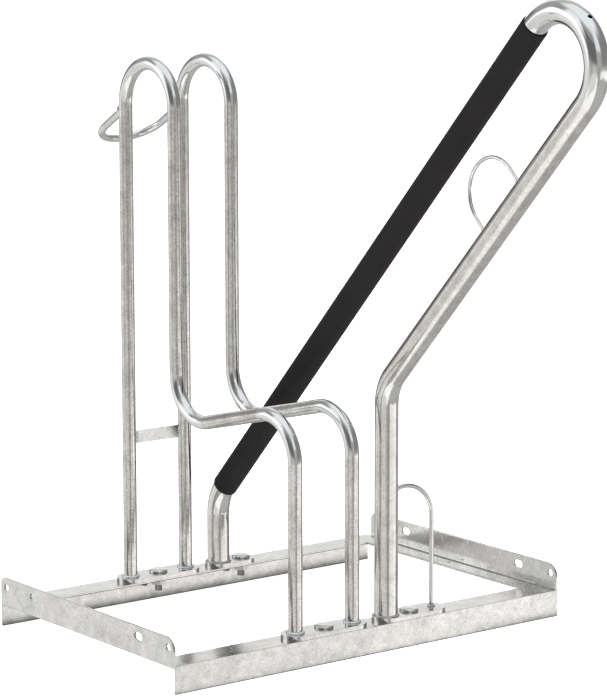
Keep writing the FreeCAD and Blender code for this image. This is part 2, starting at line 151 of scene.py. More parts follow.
def grid_mesh(name, rows, uv_rows, close_u=True, close_v=False, caps=False, sharp=35.0):
    """Skin over rows of points; uv_rows gives (u of each column, v)."""
    me = bpy.data.meshes.new(name)
    seg = len(rows[0])
    verts = [v for row in rows for v in row]
    faces, uvs = [], []
    n = len(rows)
    for i in range(n if close_v else n - 1):
        j = (i + 1) % n
        ua, va = uv_rows[i]
        ub, vb = uv_rows[j] if j else (uv_rows[0][0], uv_rows[-1][1] + (uv_rows[1][1] - uv_rows[0][1]))
        for k in range(seg if close_u else seg - 1):
            k2 = (k + 1) % seg
            faces.append((i * seg + k, i * seg + k2, j * seg + k2, j * seg + k))
            uvs.append(((ua[k], va), (ua[k + 1], va), (ub[k + 1], vb), (ub[k], vb)))
    if caps:
        for i in (0, n - 1):
            faces.append(tuple(i * seg + k for k in range(seg)))
            uvs.append(tuple((uv_rows[i][0][k], uv_rows[i][1]) for k in range(seg)))
    me.from_pydata(verts, [], faces)
    layer = me.uv_layers.new(name="UVMap")
    i = 0
    for f in uvs:
        for c in f:
            layer.data[i].uv = c
            i += 1
    finish_mesh(me, sharp)
    return me


def tube_rows(samples, to3d, normal, r, seg):
    n = normal.normalized()
    rows, uv_rows = [], []
    length, prev = 0.0, None
    circ = 2 * math.pi * r * MM
    us = [circ * k / seg for k in range(seg + 1)]
    for (a, b, h) in samples:
        c = to3d(a, b)
        if prev is not None:
            length += (c - prev).length
        prev = c
        t = (to3d(a + math.cos(h), b + math.sin(h)) - c).normalized()
        side = n.cross(t).normalized()
        rows.append([c + (side * math.cos(2 * math.pi * k / seg) + n * math.sin(2 * math.pi * k / seg)) * (r * MM)
                     for k in range(seg)])
        uv_rows.append((us, length))
    return rows, uv_rows


def rod_mesh(name, samples, to3d, normal, r, seg):
    rows, uv = tube_rows(samples, to3d, normal, r, seg)
    return grid_mesh(name, rows, uv, caps=True)


def tube_mesh(name, samples, to3d, normal, r, wall, seg):
    """Hollow tube: outside, end faces and bore in one closed skin."""
    out_rows, out_uv = tube_rows(samples, to3d, normal, r, seg)
    in_rows, in_uv = tube_rows(samples, to3d, normal, r - wall, seg)
    rows = out_rows + in_rows[::-1]
    uv = out_uv + in_uv[::-1]
    rows.append(rows[0])
    uv.append(uv[0])
    me = grid_mesh(name, rows, uv)
    bm = bmesh.new()
    bm.from_mesh(me)
    bmesh.ops.remove_doubles(bm, verts=bm.verts, dist=1e-7)
    bm.to_mesh(me)
    bm.free()
    finish_mesh(me)
    return me


def join_meshes(name, meshes, sharp=40.0):
    bm = bmesh.new()
    for m in meshes:
        bm.from_mesh(m)
    me = bpy.data.meshes.new(name)
    bm.to_mesh(me)
    bm.free()
    for m in meshes:
        bpy.data.meshes.remove(m)
    finish_mesh(me, sharp)
    return me


# ---------------------------------------------------------- shader helpers
def nt(mat):
    mat.use_nodes = True
    t = mat.node_tree
    for n in list(t.nodes):
        t.nodes.remove(n)
    out = t.nodes.new("ShaderNodeOutputMaterial")
    bsdf = t.nodes.new("ShaderNodeBsdfPrincipled")
    t.links.new(bsdf.outputs[0], out.inputs[0])
    return t, bsdf


def rgb(c):
    return (c, c, c, 1.0) if isinstance(c, (int, float)) else (*c, 1.0)


def ramp(t, fac, stops, interp="LINEAR"):
    n = t.nodes.new("ShaderNodeValToRGB")
    n.color_ramp.interpolation = interp
    e = n.color_ramp.elements
    while len(e) > 1:
        e.remove(e[-1])
    e[0].position = stops[0][0]
    e[0].color = rgb(stops[0][1])
    for pos, col in stops[1:]:
        x = e.new(pos)
        x.color = rgb(col)
    t.links.new(fac, n.inputs[0])
    return n.outputs[0]


def noise(t, vec, scale, detail=4.0, rough=0.55, dist=0.0):
    n = t.nodes.new("ShaderNodeTexNoise")
    n.inputs["Scale"].default_value = scale
    n.inputs["Detail"].default_value = detail
    n.inputs["Roughness"].default_value = rough
    n.inputs["Distortion"].default_value = dist
    t.links.new(vec, n.inputs["Vector"])
    return n.outputs["Fac"]


def cells(t, vec, scale, feature="F1", output="Color"):
    n = t.nodes.new("ShaderNodeTexVoronoi")
    n.feature = feature
    n.inputs["Scale"].default_value = scale
    t.links.new(vec, n.inputs["Vector"])
    return n.outputs[output]


def mapping(t, vec, scale=(1, 1, 1), loc=(0, 0, 0), rot=(0, 0, 0)):
    m = t.nodes.new("ShaderNodeMapping")
    m.inputs["Scale"].default_value = scale
    m.inputs["Location"].default_value = loc
    m.inputs["Rotation"].default_value = rot
    t.links.new(vec, m.inputs["Vector"])
    return m.outputs[0]


def math_node(t, op, a, b=None, clamp=False):
    n = t.nodes.new("ShaderNodeMath")
    n.operation = op
    n.use_clamp = clamp
    for i, v in enumerate((a, b)):
        if v is None:
            continue
        if isinstance(v, (int, float)):
            n.inputs[i].default_value = v
        else:
            t.links.new(v, n.inputs[i])
    return n.outputs[0]


def mix_color(t, mode, fac, a, b):
    n = t.nodes.new("ShaderNodeMix")
    n.data_type = "RGBA"
    n.blend_type = mode
    for i, v in ((0, fac), (6, a), (7, b)):
        if isinstance(v, (int, float)):
            if i == 0:
                n.inputs[i].default_value = v
            else:
                n.inputs[i].default_value = rgb(v)
        elif isinstance(v, tuple):
            n.inputs[i].default_value = (*v, 1.0)
        else:
            t.links.new(v, n.inputs[i])
    return n.outputs[2]


def step_node(t, v, lo_, hi_):
    n_ = t.nodes.new("ShaderNodeMapRange")
    n_.interpolation_type = "SMOOTHSTEP"
    n_.inputs["From Min"].default_value = lo_
    n_.inputs["From Max"].default_value = hi_
    t.links.new(v, n_.inputs["Value"])
    return n_.outputs["Result"]


def bump(t, height, strength, distance, chain=None):
    n = t.nodes.new("ShaderNodeBump")
    n.inputs["Strength"].default_value = strength
    n.inputs["Distance"].default_value = distance
    t.links.new(height, n.inputs["Height"])
    if chain is not None:
        t.links.new(chain, n.inputs["Normal"])
    return n.outputs[0]


def axis_value(t, vec, i):
    s = t.nodes.new("ShaderNodeSeparateXYZ")
    t.links.new(vec, s.inputs[0])
    return s.outputs[i]


def mul(t, a, b):
    return mix_color(t, "MULTIPLY", 1.0, a, b)


def zinc_colour(t, ob, base, k=1.0):
    """Cloudy zinc: wide clouds, blotches, crystal cells, pale blooms, fine
    specks, small dark pits and crisp white spots; k is the contrast of the
    fine parts."""
    wide = noise(t, ob, 13.0, 3.0, 0.5)
    blotch = noise(t, mapping(t, ob, loc=(2.3, 0.9, 5.1)), 31.0, 4.0, 0.6, 0.8)
    cloud = noise(t, ob, 62.0, 5.0, 0.62, 0.5)
    fine = noise(t, ob, 430.0, 4.0, 0.65)
    speck = noise(t, mapping(t, ob, loc=(3.1, 1.7, 0.4)), 640.0, 2.0, 0.5)
    pit = noise(t, mapping(t, ob, loc=(8.2, 3.3, 1.9)), 290.0, 2.0, 0.5)
    spot = noise(t, mapping(t, ob, loc=(1.2, 7.4, 6.3)), 330.0, 2.0, 0.5)
    bloom = noise(t, mapping(t, ob, loc=(0.7, 4.1, 2.2)), 74.0, 3.0, 0.6, 0.9)
    tint = noise(t, mapping(t, ob, loc=(5.0, 0.3, 1.2)), 21.0, 2.0, 0.5)
    r, g, b = base
    c = ramp(t, cloud, [(0.28, (r * 0.86, g * 0.86, b * 0.86)), (0.50, base), (0.74, (r * 1.12, g * 1.12, b * 1.12))])
    c = mul(t, c, ramp(t, wide, [(0.3, 0.93), (0.7, 1.04)]))
    c = mul(t, c, ramp(t, blotch, [(0.32, 0.91), (0.46, 1.0), (0.70, 1.05)]))
    c = mul(t, c, ramp(t, cells(t, ob, 150.0), [(0.0, 1.0 - 0.045 * k), (1.0, 1.0 + 0.03 * k)]))
    c = mul(t, c, ramp(t, fine, [(0.30, 1.0 - 0.13 * k), (0.50, 1.0), (0.70, 1.0 + 0.07 * k)]))
    c = mul(t, c, ramp(t, speck, [(0.27, 1.0 - 0.24 * k), (0.36, 1.0)]))
    c = mul(t, c, ramp(t, pit, [(0.22, 0.52), (0.28, 1.0)]))
    c = mix_color(t, "MIX", ramp(t, bloom, [(0.585, 0.0), (0.66, 0.34)]), c, (0.93, 0.93, 0.915))
    c = mix_color(t, "MIX", ramp(t, spot, [(0.70, 0.0), (0.745, 0.62)]), c, (0.98, 0.98, 0.975))
    c = mul(t, c, ramp(t, tint, [(0.32, (0.988, 1.0, 0.992)), (0.5, (1.0, 1.0, 1.0)), (0.70, (1.012, 0.994, 0.992))]))
    return c, cloud, fine, bloom


# --------------------------------------------------------------- materials
def galvanised_flat(name, foot=None, shade_line_z=None, toe_shade_line=False, far_end_shade=False, base=(0.704, 0.697, 0.678)):
    """Hot-dip zinc on angle iron and plates. foot: (height, levels) of painted shade
    that darkens the foot towards the ground; far_end_shade: the foot's painted shade is
    darker towards the right-hand end; shade_line_z: height of a lower edge with a thin
    painted shade line; toe_shade_line: the same painted shade line under the flat leg's free edge."""
    m = bpy.data.materials.new(name)
    t, b = nt(m)
    ob = t.nodes.new("ShaderNodeTexCoord").outputs["Object"]
    c, cloud, fine, bloom = zinc_colour(t, ob, base)
    z = axis_value(t, ob, 2)
    wander = math_node(t, "MULTIPLY", math_node(t, "SUBTRACT", noise(t, ob, 90.0, 3.0, 0.6), 0.5), 0.006)
    # painted shade: the foot darkens towards the ground, standing in for the floor's contact shadow seen in reflection
    if foot is not None:
        z_dark, levels = foot
        zz = math_node(t, "ADD", z, wander)
        shade = ramp(t, step_node(t, zz, 0.0, z_dark * MM),
                     [(0.0, levels[0]), (0.12, levels[1]), (0.45, levels[2]), (1.0, 1.0)])
        # painted shade: the foot's shade grows darker and reaches higher towards the right-hand end
        if far_end_shade:
            along = step_node(t, axis_value(t, ob, 0), 0.10, 0.28)
            dark = ramp(t, step_node(t, zz, 0.0, z_dark * 1.3 * MM),
                        [(0.0, levels[0] * 0.72), (0.2, levels[1] * 0.78), (0.55, 0.85), (1.0, 1.0)])
            shade = mix_color(t, "MIX", along, shade, dark)
        c = mul(t, c, shade)
        # painted shade: a near-black band along the lowest 2 mm of the rail
        c = mul(t, c, ramp(t, step_node(t, z, 0.0, 0.0022), [(0.0, 0.22), (0.35, 0.48), (1.0, 1.0)]))
    # painted shade: a dark line under the flat leg's free edge, where its underside is in shadow
    if toe_shade_line:
        low = math_node(t, "SUBTRACT", 1.0, step_node(t, z, 0.0327, 0.0335))
        flank = step_node(t, z, 0.0305, 0.0315)
        c = mul(t, c, ramp(t, math_node(t, "MULTIPLY", low, flank), [(0.0, 1.0), (1.0, 0.42)]))
    # painted shade: a thin dark line along the lower edge at this height
    if shade_line_z is not None:
        c = mul(t, c, ramp(t, step_node(t, z, shade_line_z * MM, (shade_line_z + 1.1) * MM), [(0.0, 0.42), (0.5, 0.76), (1.0, 1.0)]))
    t.links.new(c, b.inputs["Base Color"])
    b.inputs["Metallic"].default_value = 1.0
    rr = math_node(t, "ADD", math_node(t, "MULTIPLY", fine, 0.5), math_node(t, "MULTIPLY", cloud, 0.5))
    rough = ramp(t, rr, [(0.30, 0.24), (0.52, 0.15), (0.70, 0.10)])
    rough = mix_color(t, "MIX", ramp(t, bloom, [(0.585, 0.0), (0.66, 0.6)]), rough, 0.34)
    t.links.new(rough, b.inputs["Roughness"])
    h = math_node(t, "ADD", math_node(t, "MULTIPLY", cloud, 1.0), math_node(t, "MULTIPLY", fine, 0.22))
    t.links.new(bump(t, h, 0.09, 0.0006), b.inputs["Normal"])
    return m


def galvanised_tube(name, bends=(), rough=(0.10, 0.18), base=(0.725, 0.710, 0.682), grain=1.0, blend=1.2, still=0.075):
    """Zinc on tube: faint drawing lines and mottling on the straight runs,
    stretched smooth and bright over the bends; blend is how gradually the
    one passes into the other, in mm."""
    m = bpy.data.materials.new(name)
    t, b = nt(m)
    uv = t.nodes.new("ShaderNodeTexCoord").outputs["UV"]
    ob = t.nodes.new("ShaderNodeTexCoord").outputs["Object"]
    c, cloud, fine, bloom = zinc_colour(t, ob, base, 0.55 + 0.50 * grain)
    streak = noise(t, mapping(t, uv, (1.0, 0.06, 1.0)), 330.0, 4.0, 0.6)
    patch = noise(t, mapping(t, uv, (1.0, 0.45, 1.0)), 96.0, 5.0, 0.68)
    dash = noise(t, mapping(t, uv, (1.0, 0.5, 1.0)), 520.0, 3.0, 0.6)
    c = mul(t, c, ramp(t, streak, [(0.28, 1.0 - 0.16 * grain), (0.55, 1.0), (0.72, 1.0 + 0.06 * grain)]))
    c = mul(t, c, ramp(t, patch, [(0.30, 1.0 - 0.17 * grain), (0.50, 1.0), (0.70, 1.0 + 0.12 * grain)]))
    c = mul(t, c, ramp(t, dash, [(0.30, 1.0 - 0.22 * grain), (0.50, 1.0), (0.68, 1.0 + 0.13 * grain)]))
    rr = math_node(t, "ADD", math_node(t, "MULTIPLY", fine, 0.5), math_node(t, "MULTIPLY", streak, 0.5))
    r = ramp(t, rr, [(0.32, rough[1]), (0.66, rough[0])])
    if bends:
        v = math_node(t, "ADD", axis_value(t, uv, 1),
                      math_node(t, "MULTIPLY", math_node(t, "SUBTRACT", noise(t, ob, 260.0, 2.0, 0.5), 0.5), 0.006))
        mask = None
        for s0, s1 in bends:
            k = math_node(t, "MULTIPLY", step_node(t, v, (s0 - blend) * MM, (s0 + blend) * MM),
                          math_node(t, "SUBTRACT", 1.0, step_node(t, v, (s1 - blend) * MM, (s1 + blend) * MM)))
            mask = k if mask is None else math_node(t, "MAXIMUM", mask, k)
        calm = mul(t, ramp(t, cloud, [(0.3, (0.745, 0.745, 0.735)), (0.7, (0.80, 0.80, 0.79))]),
                   ramp(t, fine, [(0.3, 0.95), (0.7, 1.03)]))
        c = mix_color(t, "MIX", mask, c, calm)
        r = mix_color(t, "MIX", mask, r, still)
    t.links.new(c, b.inputs["Base Color"])
    b.inputs["Metallic"].default_value = 1.0
    t.links.new(r, b.inputs["Roughness"])
    h = math_node(t, "ADD", math_node(t, "MULTIPLY", streak, 0.5), math_node(t, "MULTIPLY", cloud, 1.0))
    n1 = bump(t, h, 0.07, 0.0005)
    n2 = bump(t, math_node(t, "ADD", fine, math_node(t, "MULTIPLY", dash, 0.8)), 0.06, 0.0002, n1)
    t.links.new(n2, b.inputs["Normal"])
    return m


def weld_metal(name, low, high, peak):
    m = bpy.data.materials.new(name)
    t, b = nt(m)
    tc = t.nodes.new("ShaderNodeTexCoord").outputs["Object"]
    cloud = noise(t, tc, 240.0, 4.0, 0.6, 0.5)
    fine = noise(t, tc, 900.0, 3.0, 0.6)
    c = ramp(t, cloud, [(0.26, low), (0.50, high), (0.8, peak)])
    c = mul(t, c, ramp(t, fine, [(0.3, 0.84), (0.7, 1.05)]))
    t.links.new(c, b.inputs["Base Color"])
    b.inputs["Metallic"].default_value = 0.75
    t.links.new(ramp(t, fine, [(0.3, 0.13), (0.7, 0.26)]), b.inputs["Roughness"])
    t.links.new(bump(t, math_node(t, "ADD", cloud, fine), 0.42, 0.0005), b.inputs["Normal"])
    return m


def bolt_metal():
    m = bpy.data.materials.new("zinc_plated_bolt")
    t, b = nt(m)
    tc = t.nodes.new("ShaderNodeTexCoord").outputs["Object"]
    cloud = noise(t, tc, 260.0, 3.0, 0.5)
    fine = noise(t, tc, 1500.0, 3.0, 0.6)
    c = ramp(t, cloud, [(0.3, (0.68, 0.68, 0.675)), (0.7, (0.80, 0.80, 0.795))])
    c = mul(t, c, ramp(t, fine, [(0.3, 0.93), (0.7, 1.03)]))
    # painted shade: darker below the plates, where the bolts sit in shadow
    below_plate_shade = step_node(t, axis_value(t, tc, 2), 0.0340, 0.0365)
    c = mul(t, c, ramp(t, below_plate_shade, [(0.0, (0.62, 0.615, 0.61)), (1.0, (1.0, 1.0, 1.0))]))
    t.links.new(c, b.inputs["Base Color"])
    b.inputs["Metallic"].default_value = 1.0
    t.links.new(ramp(t, fine, [(0.3, 0.10), (0.7, 0.18)]), b.inputs["Roughness"])
    t.links.new(bump(t, cloud, 0.06, 0.0004), b.inputs["Normal"])
    return m


def sleeve_black():
    m = bpy.data.materials.new("black_sleeve_plastic")
    t, b = nt(m)
    uv = t.nodes.new("ShaderNodeTexCoord").outputs["UV"]
    ob = t.nodes.new("ShaderNodeTexCoord").outputs["Object"]
    line = noise(t, mapping(t, uv, (1.0, 0.03, 1.0)), 300.0, 3.0, 0.55)
    grain = noise(t, ob, 1400.0, 3.0, 0.6)
    soft = noise(t, ob, 24.0, 3.0, 0.5)
    scuff = noise(t, mapping(t, uv, (1.0, 0.12, 1.0), loc=(0.3, 0.1, 0)), 85.0, 5.0, 0.7)
    c = ramp(t, line, [(0.3, (0.0105, 0.0090, 0.0093)), (0.7, (0.0140, 0.0122, 0.0126))])
    c = mul(t, c, ramp(t, soft, [(0.3, 0.90), (0.7, 1.08)]))
    c = mix_color(t, "MIX", ramp(t, scuff, [(0.66, 0.0), (0.80, 0.25)]), c, (0.034, 0.032, 0.032))
    c = mul(t, c, ramp(t, grain, [(0.3, 0.82), (0.7, 1.12)]))
    t.links.new(c, b.inputs["Base Color"])
    b.inputs["Specular IOR Level"].default_value = 0.20
    t.links.new(ramp(t, grain, [(0.3, 0.60), (0.7, 0.76)]), b.inputs["Roughness"])
    t.links.new(bump(t, math_node(t, "ADD", math_node(t, "MULTIPLY", line, 0.5), math_node(t, "MULTIPLY", grain, 0.5)),
                     0.16, 0.0004), b.inputs["Normal"])
    return m


hp = hoop_path()
lp, d_start, d_end, low_start, la = lean_path()

# the rail materials carry painted shade at their feet and thin painted shade lines along edges
MAT_RAIL = galvanised_flat("galvanised_front_rail", foot=(11.0, (0.60, 0.80, 0.94)), far_end_shade=True)
MAT_BACK = galvanised_flat("galvanised_back_rail", foot=(16.0, (0.24, 0.38, 0.68)), toe_shade_line=True)
MAT_CROSS = galvanised_flat("galvanised_cross_rail", shade_line_z=32.0)
MAT_PLATE = galvanised_flat("galvanised_plate")
MAT_STRIP = galvanised_flat("galvanised_strip", base=(0.66, 0.655, 0.64))
MAT_TUBE = galvanised_tube("galvanised_hoop_tube", hp.bends, (0.10, 0.19), grain=1.0)
MAT_LEAN = galvanised_tube("galvanised_lean_tube", lp.bends, (0.08, 0.14), grain=0.55, blend=22.0, still=0.06)
MAT_ROD = galvanised_tube("galvanised_rod", (), (0.055, 0.10), base=(0.77, 0.765, 0.75), grain=0.25)
MAT_WELD = weld_metal("galvanised_weld", (0.58, 0.60, 0.62), (0.88, 0.90, 0.92), (0.97, 0.98, 0.99))
MAT_WELD_DULL = weld_metal("galvanised_weld_dull", (0.34, 0.34, 0.335), (0.56, 0.555, 0.545), (0.74, 0.735, 0.72))
MAT_BOLT = bolt_metal()
MAT_SLEEVE = sleeve_black()


def paint(o, mat):
    for s in o.material_slots:
        s.material = mat


paint(nodes["front_rail"], MAT_RAIL)
paint(nodes["back_rail"], MAT_BACK)
for name in ("left_cross_rail", "right_cross_rail"):
    paint(nodes[name], MAT_CROSS)
for name in ("front_hoop_foot_plate", "back_hoop_foot_plate", "front_lean_bar_foot_plate",
             "back_lean_bar_foot_plate"):
    paint(nodes[name], MAT_PLATE)
paint(nodes["hoop_tie_strip"], MAT_STRIP)
paint(nodes["hex_nuts"], MAT_BOLT)


def stand_for(name, me, mat, node):
    o = new_object(name, me)
    o.data.materials.append(mat)
    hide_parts(node)
    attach(o, "root")
    return o


# ------------------------------------------------------------------- tubes
for node, x in (("wheel_hoop_left", HOOP_X[0]), ("wheel_hoop_right", HOOP_X[1])):
    me = tube_mesh(node + "_tube", hp.pts, lambda y, z, x=x: P(x, y, z), Vector((1, 0, 0)), HOOP_R, 2.0, 48)
    stand_for(node + "_tube", me, MAT_TUBE, node)

me = tube_mesh("lean_bar_tube", lp.pts, lambda y, z: P(LEAN_X, y, z), Vector((1, 0, 0)), LEAN_R, 2.5, 64)
# vent hole on the outside of the top bend
top_c = 0.5 * (d_end + low_start)
ha, tilt = math.radians(130.7), math.radians(3.3)
hd = Vector((-math.sin(tilt), math.cos(ha) * math.cos(tilt), math.sin(ha) * math.cos(tilt)))
hc = P(LEAN_X, top_c.x + 60.6 * math.cos(ha), top_c.y + 60.6 * math.sin(ha))
cut = bpy.data.meshes.new("vent_cutter")
bm = bmesh.new()
bmesh.ops.create_cone(bm, cap_ends=True, segments=32, radius1=3.0 * MM, radius2=3.0 * MM, depth=9.0 * MM)
bm.to_mesh(cut)
bm.free()
cutter = new_object("vent_cutter", cut)
cutter.location = hc + hd * (14.5 * MM)
cutter.rotation_mode = "QUATERNION"
cutter.rotation_quaternion = hd.to_track_quat("Z", "Y")
lean = stand_for("lean_bar_tube", me, MAT_LEAN, "lean_bar")
mod = lean.modifiers.new("vent", "BOOLEAN")
mod.operation = "DIFFERENCE"
mod.solver = "EXACT"
mod.object = cutter
bpy.context.view_layer.update()
dg = bpy.context.evaluated_depsgraph_get()
cut_me = bpy.data.meshes.new_from_object(lean.evaluated_get(dg), preserve_all_data_layers=True, depsgraph=dg)
lean.modifiers.clear()
lean.data = cut_me
bpy.data.objects.remove(cutter)
for p in cut_me.polygons:
    p.use_smooth = True
cut_me.set_sharp_from_angle(angle=math.radians(35.0))

# sleeve, with rounded lips at both ends
axis = P(LEAN_X, d_end.x, d_end.y) - P(LEAN_X, d_start.x, d_start.y)
L = axis.length / MM
ax = axis.normalized()
n = Vector((1, 0, 0))
side = n.cross(ax)
o0 = P(LEAN_X, d_start.x, d_start.y)
R_S = 16.75
prof = [(0.0, 15.08), (0.0, 16.15), (0.10, 16.40), (0.28, 16.58), (0.6, 16.71), (1.0, R_S)]
n_mid = 70
for i in range(1, n_mid):
    prof.append((1.0 + (L - 2.0) * i / n_mid, R_S))
prof += [(L - 1.0, R_S), (L - 0.6, 16.71), (L - 0.28, 16.58), (L - 0.10, 16.40), (L, 16.15), (L, 15.08)]
seg = 64
us = [2 * math.pi * R_S * MM * k / seg for k in range(seg + 1)]
rows = [[o0 + ax * (l * MM) + (side * math.cos(2 * math.pi * k / seg) + n * math.sin(2 * math.pi * k / seg)) * (r * MM)
         for k in range(seg)] for (l, r) in prof]
rows.append(rows[0])
uv_rows = [(us, l * MM) for (l, r) in prof] + [(us, 0.0)]
me = grid_mesh("lean_bar_sleeve_skin", rows, uv_rows, sharp=60.0)
bm = bmesh.new()
bm.from_mesh(me)
bmesh.ops.remove_doubles(bm, verts=bm.verts, dist=1e-7)
bm.to_mesh(me)
bm.free()
finish_mesh(me, 60.0)
stand_for("lean_bar_sleeve_skin", me, MAT_SLEEVE, "lean_bar_sleeve")

# rods and wire loops
bt = math.radians(30.6)
bp = Path((-44.0, 4.5), 90.0, 3.0, 8.0)
bp.line(53.5 - 4.5).arc(44.0, -180.0).line(53.5 - 4.5)
mid_x = 0.5 * (HOOP_X[0] + HOOP_X[1])
me = rod_mesh("hoop_lock_bow_rod", bp.pts,
              lambda a, b: P(mid_x + a, LEG_Y + b * math.cos(bt), 659.0 - b * math.sin(bt)),
              Vector((0, math.sin(bt), math.cos(bt))), 5.0, 32)
stand_for("hoop_lock_bow_rod", me, MAT_ROD, "hoop_lock_bow")

tl = (math.cos(la), -math.sin(la))
nl = (math.sin(la), math.cos(la))
lm = (low_start.x + 194.2 * tl[0], low_start.y + 194.2 * tl[1])


def lean_loop(a, b):
    return P(LEAN_X, lm[0] - a * tl[0] + b * nl[0], lm[1] - a * tl[1] + b * nl[1])


ll = Path((-44.0, 13.0), 90.0, 3.0, 6.0)
ll.line(33.5 - 13.0).arc(44.0, -180.0).line(33.5 - 13.0)
me = rod_mesh("lean_bar_lock_loop_wire", ll.pts, lean_loop, Vector((1, 0, 0)), 2.5, 24)
stand_for("lean_bar_lock_loop_wire", me, MAT_ROD, "lean_bar_lock_loop")

bc = (LEAN_X + 29.0, 158.0)
th = math.acos((LEAN_X + 12.5 - bc[0]) / 44.0)
bs = Path((bc[0] + 44.0 * math.cos(th), bc[1] + 44.0 * math.sin(th)), math.degrees(th) - 90.0, 3.0, 8.0)
bs.arc(44.0, -math.degrees(th)).line(bc[1] - DECK)
me = rod_mesh("base_lock_loop_wire", bs.pts, lambda a, b: P(a, -LEG_Y, b), Vector((0, 1, 0)), 3.0, 24)
stand_for("base_lock_loop_wire", me, MAT_ROD, "base_lock_loop")


# -------------------------------------------------------------- weld beads
def wobble(rng, n=5):
    return [(rng.uniform(-1, 1), rng.randint(1, 6), rng.uniform(0, 6.28)) for _ in range(n)]


def wob(w, f):
    return sum(a * math.sin(k * f + p) for a, k, p in w) / len(w)


def ring_bead(name, centre, axis, r, size, pitch, seed, top=None, sink=0.35):
    """Fillet bead round a rod or tube: stacked ripples, slightly uneven.
    size is its reach out and up the rod."""
    rng = random.Random(seed)
    w1, w2 = wobble(rng), wobble(rng)
    a = Vector(axis).normalized()
    u = a.orthogonal().normalized()
    v = a.cross(u)
    up = size if top is None else top
    count = max(12, int(round(2 * math.pi * (r + size * 0.5) / pitch)))
    seg = count * 7
    prof = 9
    rows, uvr = [], []
    us = [2 * math.pi * r * MM * k / seg for k in range(seg + 1)]
    for j in range(prof + 1):
        q = math.radians(90.0 * j / prof)
        row = []
        for k in range(seg):
            f = 2 * math.pi * k / seg
            rip = 0.5 + 0.5 * math.cos(count * f + 1.1 * math.sin(q * 2) + 0.7 * wob(w2, f))
            grow = 1.0 + 0.16 * wob(w1, f) + 0.13 * (rip ** 0.7 - 0.5) * math.sin(max(0.15, q) * 1.0 + 0.5)
            out = r + size * (math.cos(q) ** 0.92) * grow if j < prof else r - sink
            hgt = up * (math.sin(q) ** 0.92) * grow if j else -sink
            row.append(Vector(centre) + (u * math.cos(f) + v * math.sin(f)) * (max(out, r - sink) * MM) + a * (hgt * MM))
        rows.append(row)
        uvr.append((us, j * size * MM / prof))
    # inner skirt closes the bead against the rod
    rows.append([Vector(centre) + (u * math.cos(2 * math.pi * k / seg) + v * math.sin(2 * math.pi * k / seg))
                 * ((r - sink) * MM) - a * (sink * MM) for k in range(seg)])
    uvr.append((us, 0.0))
    me = grid_mesh(name, rows, uvr, close_v=True, sharp=70.0)
    return me


def run_bead(name, p0, p1, across, up, half, height, pitch, seed):
    """Straight weld run of half-oval ripples between two points."""
    rng = random.Random(seed)
    w1, w2 = wobble(rng), wobble(rng)
    p0, p1 = Vector(p0), Vector(p1)
    d = (p1 - p0)
    length = d.length / MM
    d.normalize()
    across, up = Vector(across).normalized(), Vector(up).normalized()
    n = max(8, int(length / 0.35))
    seg = 14
    rows, uvr = [], []
    us = [k * half * MM / seg for k in range(seg + 1)]
    for i in range(n + 1):
        s = length * i / n
        end = min(1.0, math.sqrt(max(0.0, min(s, length - s)) / (half * 0.9)))
        f = 6.28 * s / length
        row = []
        for k in range(seg):
            q = math.pi * k / (seg - 1)
            lag = 0.9 * abs(math.cos(q)) * half
            rip = 0.5 + 0.5 * math.cos(2 * math.pi * (s - lag) / pitch)
            grow = (1.0 + 0.10 * wob(w1, f) + 0.14 * (rip ** 0.7 - 0.5)) * max(0.02, end)
            row.append(p0 + d * (s * MM) + across * (half * math.cos(q) * grow * MM)
                       + up * ((height * math.sin(q) * grow - (0.25 if k in (0, seg - 1) else 0.0)) * MM))
        rows.append(row)
        uvr.append((us, s * MM))
    return grid_mesh(name, rows, uvr, close_u=True, caps=True, sharp=70.0)


parts = []
k = 0
for x in HOOP_X:
    for s in (-1, 1):
        k += 1
        parts.append(ring_bead("b%d" % k, P(x, s * LEG_Y, DECK), (0, 0, 1), HOOP_R, 2.8 if x < -60 else 2.3, 2.3, 100 + k))
stand_for("foot_weld_ripples", join_meshes("foot_weld_ripples", parts, 70.0), MAT_WELD, "foot_weld_beads")
parts = []
for s in (-1, 1):
    k += 1
    parts.append(ring_bead("b%d" % k, P(LEAN_X, s * LEG_Y, DECK), (0, 0, 1), LEAN_R, 2.0, 2.3, 120 + k))
parts.append(ring_bead("b9", P(107.0, -LEG_Y, DECK), (0, 0, 1), 3.0, 2.1, 1.6, 140))
stand_for("foot_weld_ripples_lean_bar", join_meshes("foot_weld_ripples_lean_bar", parts, 70.0), MAT_WELD_DULL,
          "foot_weld_beads")

parts = []
k = 0
for x, sx in ((HOOP_X[0], 1.0), (HOOP_X[1], -1.0)):
    for sy in (-1.0, 1.0):
        k += 1
        xc = x + sx * math.sqrt(81.0 - 4.0)
        out = Vector((0.25 * sx, sy, 0)).normalized()
        parts.append(run_bead("s%d" % k, P(xc + sx * 0.5, LEG_Y + sy * 1.9, 226.4 - 7.8),
                              P(xc + sx * 0.5, LEG_Y + sy * 1.9, 226.4 + 7.8), (1, 0, 0), out, 2.5, 2.0, 1.7, 200 + k))
stand_for("tie_strip_weld_ripples", join_meshes("tie_strip_weld_ripples", parts, 70.0), MAT_WELD,
          "tie_strip_weld_beads")

